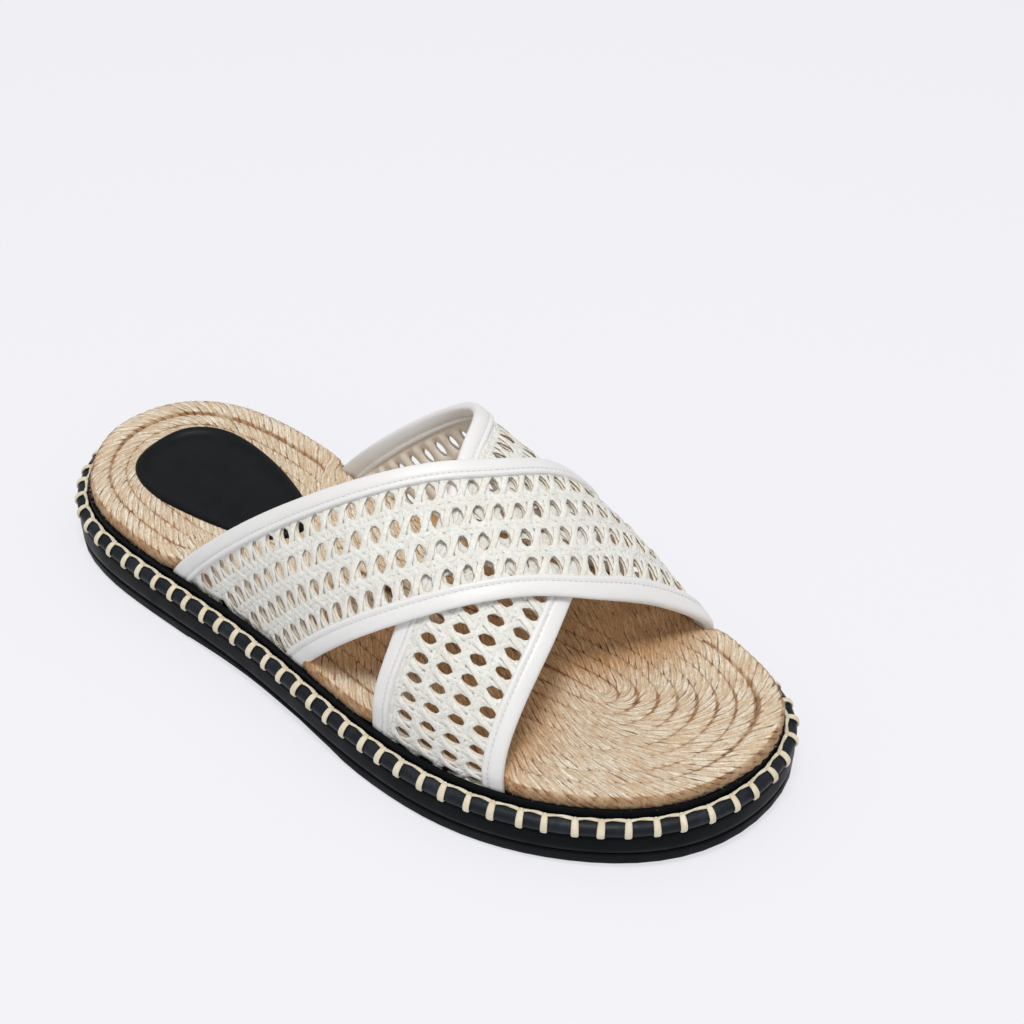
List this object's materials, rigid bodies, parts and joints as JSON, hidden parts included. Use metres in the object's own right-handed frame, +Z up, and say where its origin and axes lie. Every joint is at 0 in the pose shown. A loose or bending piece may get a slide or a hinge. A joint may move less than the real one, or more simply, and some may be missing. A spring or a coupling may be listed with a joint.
{
  "type": "cross-strap slide",
  "caption": "Right-foot cross-strap slide: woven leather straps with folded edges crossing over a rope footbed on a black rubber sole with a sewn rand.",
  "frame": {"origin": "on the floor below the middle of the bounding box", "axes": "+X from heel to toe, +Y to the inner (medial) side of the foot, +Z up"},
  "size_m": [0.2616, 0.1064, 0.0805],
  "materials": {
    "outsole_rubber": "matt black tread rubber",
    "midsole_rubber": "matt black rubber wall",
    "rand_leather": "black coated leather, satin",
    "rope": "natural coiled plant-fibre rope",
    "pad_leather": "fine-grained black leather, satin",
    "woven_leather": "off-white woven leather strips, matt",
    "binding_leather": "off-white smooth leather, satin"
  },
  "bodies": {
    "root": {"outsole": "outsole_rubber", "midsole": "midsole_rubber", "rand": "rand_leather", "footbed": "rope", "heel_pad": "pad_leather", "upper": "woven_leather", "under_strap_binding_heel_side": "binding_leather", "under_strap_binding_toe_side": "binding_leather", "over_strap_binding_heel_side": "binding_leather", "over_strap_binding_toe_side": "binding_leather"}
  },
  "joints": []
}
